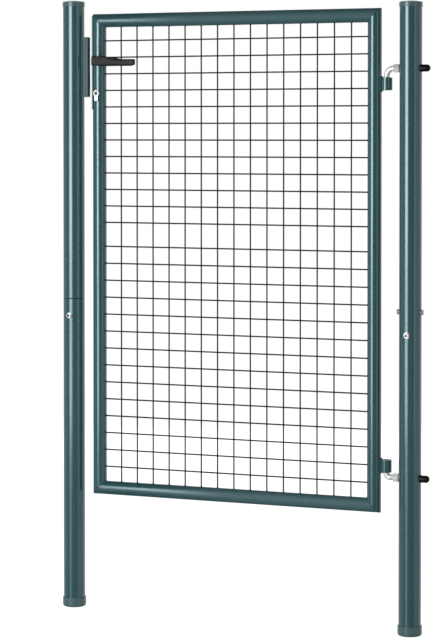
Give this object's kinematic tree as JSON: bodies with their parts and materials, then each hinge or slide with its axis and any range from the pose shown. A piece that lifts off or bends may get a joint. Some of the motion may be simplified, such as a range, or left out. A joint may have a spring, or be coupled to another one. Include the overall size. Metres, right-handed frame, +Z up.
{
  "type": "metal pedestrian gate with posts",
  "caption": "Garden gate for people on foot: a round-tube leaf filled with welded wire mesh, hung on bent hinge bolts between round posts, with a lever lock and a strike.",
  "frame": {"origin": "centre of the underside of the hinge post's foot, on the ground", "axes": "+X from the latch post to the hinge post, -Y is the front, +Z is up"},
  "size_m": [1.083, 0.074, 1.707],
  "materials": {
    "green_paint": "semi-gloss powder coat",
    "wire_coat": "satin coating",
    "cap_plastic": "satin",
    "zinc": "zinc plated",
    "black_plastic": "satin"
  },
  "bodies": {
    "posts": {"hinge_post_lower_tube": "green_paint", "hinge_post_upper_tube": "green_paint", "hinge_post_joint_sleeve": "zinc", "hinge_post_cap": "cap_plastic", "hinge_post_foot": "cap_plastic", "hinge_post_joint_bolts": "zinc", "latch_post_lower_tube": "green_paint", "latch_post_upper_tube": "green_paint", "latch_post_joint_sleeve": "zinc", "latch_post_cap": "cap_plastic", "latch_post_foot": "cap_plastic", "latch_post_joint_bolt": "zinc", "upper_hinge_bolt": "zinc", "lower_hinge_bolt": "zinc", "upper_hinge_nut": "zinc", "lower_hinge_nut": "zinc", "upper_bolt_cap": "black_plastic", "lower_bolt_cap": "black_plastic", "strike_box": "green_paint"},
    "leaf": {"hinge_stile": "green_paint", "latch_stile": "green_paint", "top_rail": "green_paint", "bottom_rail": "green_paint", "mesh_panel": "wire_coat", "upper_hinge_sleeve": "green_paint", "lower_hinge_sleeve": "green_paint", "lock_case": "zinc", "lock_faceplate": "zinc", "latch_bolt": "zinc", "dead_bolt": "zinc", "profile_cylinder": "zinc"},
    "handle": {"front_lever": "black_plastic", "rear_lever": "black_plastic", "handle_spindle": "zinc"}
  },
  "joints": [
    {"name": "gate_swing", "type": "hinge", "parent": "posts", "child": "leaf", "pos_m": [-0.067, 0, 0.448], "axis": [0, 0, 1], "range_deg": [0, 100]},
    {"name": "handle_turn", "type": "hinge", "parent": "leaf", "child": "handle", "pos_m": [-0.915, 0, 1.536], "axis": [0, 1, 0], "range_deg": [0, 45], "stiffness_Nm_per_rad": 1, "springref_deg": -20.05}
  ]
}
